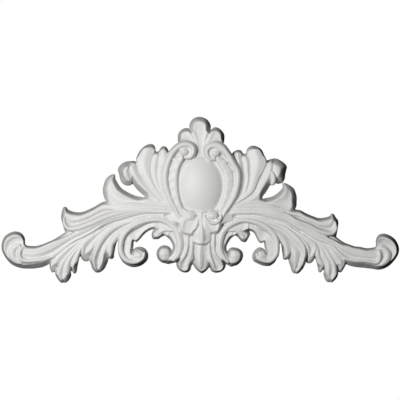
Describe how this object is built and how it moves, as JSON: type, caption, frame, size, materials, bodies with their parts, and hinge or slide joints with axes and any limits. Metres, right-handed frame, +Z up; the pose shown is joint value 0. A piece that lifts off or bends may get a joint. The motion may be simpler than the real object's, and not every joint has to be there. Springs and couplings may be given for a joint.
{
  "type": "scroll onlay",
  "caption": "Cast relief ornament of acanthus scrolls round an oval cabochon, with a flat back to fix on a wall, door or mantel.",
  "frame": {"origin": "on the flat back, behind the middle of the cabochon", "axes": "+Z up, the carved front faces -Y, +Y points into the wall, +X to the viewer's right"},
  "size_m": [0.46, 0.0252, 0.1926],
  "materials": {
    "white_cast": "matt white primer"
  },
  "bodies": {
    "root": {"scroll_onlay": "white_cast"}
  },
  "joints": []
}
